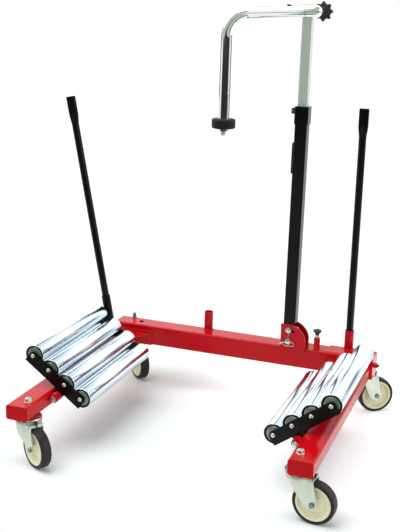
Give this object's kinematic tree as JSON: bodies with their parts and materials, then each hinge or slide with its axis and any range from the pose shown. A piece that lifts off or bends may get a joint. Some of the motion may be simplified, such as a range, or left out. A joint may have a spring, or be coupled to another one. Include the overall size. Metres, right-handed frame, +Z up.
{
  "type": "wheel dolly",
  "caption": "Red U-shaped wheel dolly on swivel casters, with tilting roller cradles, lever bars, a sliding arm and a telescopic mast with a hook arm.",
  "frame": {"origin": "on the floor under the middle of the object's outline", "axes": "+Z up, +Y from the open front to the back beam, +X to the right seen from the open front"},
  "size_m": [1.1728, 0.9416, 1.4125],
  "materials": {
    "red_paint": "gloss",
    "black_paint": "satin",
    "chrome": "polished",
    "zinc": "zinc plated",
    "galvanised": "galvanised",
    "cream_plastic": "moulded",
    "tyre": "matte",
    "black_plastic": "moulded",
    "black_rubber": "matte"
  },
  "bodies": {
    "frame": {"main_beam": "red_paint", "left_saddle": "red_paint", "left_arm": "red_paint", "left_pivot_shaft": "zinc", "left_holder": "red_paint", "lock_post": "red_paint", "bracket_plates": "red_paint", "left_studs": "zinc"},
    "right_frame": {"right_stub": "red_paint", "slide_tube": "zinc", "right_arm": "red_paint", "right_pivot_shaft": "zinc", "right_holder": "red_paint", "right_studs": "zinc"},
    "lock_pin": {"lock_pin": "zinc", "lock_knob": "black_plastic"},
    "left_cradle": {"left_plates": "black_paint", "left_pivot_tube": "black_paint", "left_shafts": "zinc", "left_socket": "black_paint"},
    "right_cradle": {"right_plates": "black_paint", "right_pivot_tube": "black_paint", "right_shafts": "zinc"},
    "left_lever": {"left_lever": "black_paint"},
    "right_lever": {"right_lever": "black_paint"},
    "mast": {"mast_tube": "black_paint", "mast_bolts": "zinc", "collar": "black_paint", "side_rail": "black_paint"},
    "collar_knob": {"collar_knob": "black_plastic"},
    "inner_mast": {"inner_tube": "galvanised", "sleeve": "chrome"},
    "hook": {"hook_rod": "chrome", "bumper": "black_rubber", "tip_nut": "zinc"},
    "star_knob": {"star_knob": "black_plastic"},
    "left_roller_1": {"left_roller_1": "chrome"},
    "left_roller_2": {"left_roller_2": "chrome"},
    "left_roller_3": {"left_roller_3": "chrome"},
    "left_roller_4": {"left_roller_4": "chrome"},
    "right_roller_1": {"right_roller_1": "chrome"},
    "right_roller_2": {"right_roller_2": "chrome"},
    "right_roller_3": {"right_roller_3": "chrome"},
    "right_roller_4": {"right_roller_4": "chrome"},
    "fl_swivel": {"fl_fork": "zinc", "fl_axle": "zinc"},
    "fl_wheel": {"fl_hub": "cream_plastic", "fl_tyre": "tyre"},
    "fr_swivel": {"fr_fork": "zinc", "fr_axle": "zinc"},
    "fr_wheel": {"fr_hub": "cream_plastic", "fr_tyre": "tyre"},
    "rl_swivel": {"rl_fork": "zinc", "rl_axle": "zinc"},
    "rl_wheel": {"rl_hub": "cream_plastic", "rl_tyre": "tyre"},
    "rr_swivel": {"rr_fork": "zinc", "rr_axle": "zinc"},
    "rr_wheel": {"rr_hub": "cream_plastic", "rr_tyre": "tyre"}
  },
  "joints": [
    {"name": "width_slide", "type": "slide", "parent": "frame", "child": "right_frame", "axis": [1, 0, 0], "range_m": [0, 0.2]},
    {"name": "lock_pin_slide", "type": "slide", "parent": "frame", "child": "lock_pin", "axis": [0, 0, 1], "range_m": [-0.008, 0]},
    {"name": "left_cradle_tilt", "type": "hinge", "parent": "frame", "child": "left_cradle", "pos_m": [-0.36184, -0.04188, 0.1799], "axis": [0, -1, 0], "range_deg": [-20, 14]},
    {"name": "left_roller_1_spin", "type": "hinge", "parent": "left_cradle", "child": "left_roller_1", "pos_m": [-0.28422, -0.04188, 0.17859], "axis": [0, 1, 0], "continuous": true},
    {"name": "left_roller_2_spin", "type": "hinge", "parent": "left_cradle", "child": "left_roller_2", "pos_m": [-0.33976, -0.04188, 0.21909], "axis": [0, 1, 0], "continuous": true},
    {"name": "left_roller_3_spin", "type": "hinge", "parent": "left_cradle", "child": "left_roller_3", "pos_m": [-0.3953, -0.04188, 0.2596], "axis": [0, 1, 0], "continuous": true},
    {"name": "left_roller_4_spin", "type": "hinge", "parent": "left_cradle", "child": "left_roller_4", "pos_m": [-0.45084, -0.04188, 0.3001], "axis": [0, 1, 0], "continuous": true},
    {"name": "right_cradle_tilt", "type": "hinge", "parent": "right_frame", "child": "right_cradle", "pos_m": [0.43166, -0.04188, 0.1799], "axis": [0, 1, 0], "range_deg": [-20, 14]},
    {"name": "right_roller_1_spin", "type": "hinge", "parent": "right_cradle", "child": "right_roller_1", "pos_m": [0.35403, -0.04188, 0.17859], "axis": [0, 1, 0], "continuous": true},
    {"name": "right_roller_2_spin", "type": "hinge", "parent": "right_cradle", "child": "right_roller_2", "pos_m": [0.40958, -0.04188, 0.21909], "axis": [0, 1, 0], "continuous": true},
    {"name": "right_roller_3_spin", "type": "hinge", "parent": "right_cradle", "child": "right_roller_3", "pos_m": [0.46512, -0.04188, 0.2596], "axis": [0, 1, 0], "continuous": true},
    {"name": "right_roller_4_spin", "type": "hinge", "parent": "right_cradle", "child": "right_roller_4", "pos_m": [0.52066, -0.04188, 0.3001], "axis": [0, 1, 0], "continuous": true},
    {"name": "fl_swivel", "type": "hinge", "parent": "frame", "child": "fl_swivel", "pos_m": [-0.39909, -0.40037, 0.147], "axis": [0, 0, 1], "continuous": true},
    {"name": "fl_roll", "type": "hinge", "parent": "fl_swivel", "child": "fl_wheel", "pos_m": [-0.35601, -0.42575, 0.0635], "axis": [0.5075, 0.8616, 0], "continuous": true},
    {"name": "fr_swivel", "type": "hinge", "parent": "right_frame", "child": "fr_swivel", "pos_m": [0.46891, -0.40037, 0.147], "axis": [0, 0, 1], "continuous": true},
    {"name": "fr_roll", "type": "hinge", "parent": "fr_swivel", "child": "fr_wheel", "pos_m": [0.51863, -0.4056, 0.0635], "axis": [0.1045, 0.9945, 0], "continuous": true},
    {"name": "rl_swivel", "type": "hinge", "parent": "frame", "child": "rl_swivel", "pos_m": [-0.40809, 0.39663, 0.147], "axis": [0, 0, 1], "continuous": true},
    {"name": "rl_roll", "type": "hinge", "parent": "rl_swivel", "child": "rl_wheel", "pos_m": [-0.37152, 0.36252, 0.0635], "axis": [0.682, 0.7314, 0], "continuous": true},
    {"name": "rr_swivel", "type": "hinge", "parent": "right_frame", "child": "rr_swivel", "pos_m": [0.48391, 0.39663, 0.147], "axis": [0, 0, 1], "continuous": true},
    {"name": "rr_roll", "type": "hinge", "parent": "rr_swivel", "child": "rr_wheel", "pos_m": [0.52584, 0.42386, 0.0635], "axis": [-0.5446, 0.8387, 0], "continuous": true},
    {"name": "left_lever_lift", "type": "slide", "parent": "left_cradle", "child": "left_lever", "axis": [-0.1822, 0, 0.9833], "range_m": [0, 0.1]},
    {"name": "right_lever_lift", "type": "slide", "parent": "right_frame", "child": "right_lever", "axis": [0, 0, 1], "range_m": [0, 0.06]},
    {"name": "mast_tilt", "type": "hinge", "parent": "frame", "child": "mast", "pos_m": [0.22191, 0.35192, 0.2485], "axis": [0, 1, 0], "range_deg": [0, 24.5]},
    {"name": "mast_extend", "type": "slide", "parent": "mast", "child": "inner_mast", "axis": [0.0087, 0, 1], "range_m": [-0.17, 0.25]},
    {"name": "collar_knob_turn", "type": "hinge", "parent": "mast", "child": "collar_knob", "pos_m": [0.20496, 0.35192, 1.05668], "axis": [1, 0, -0.0087], "range_deg": [-180, 180]},
    {"name": "hook_turn", "type": "hinge", "parent": "inner_mast", "child": "hook", "pos_m": [0.23176, 0.35192, 1.37786], "axis": [0.999, 0, 0.0436], "range_deg": [-180, 180]},
    {"name": "star_knob_turn", "type": "hinge", "parent": "inner_mast", "child": "star_knob", "pos_m": [0.26973, 0.38293, 1.37952], "axis": [0, 1, 0], "range_deg": [-180, 180]}
  ]
}
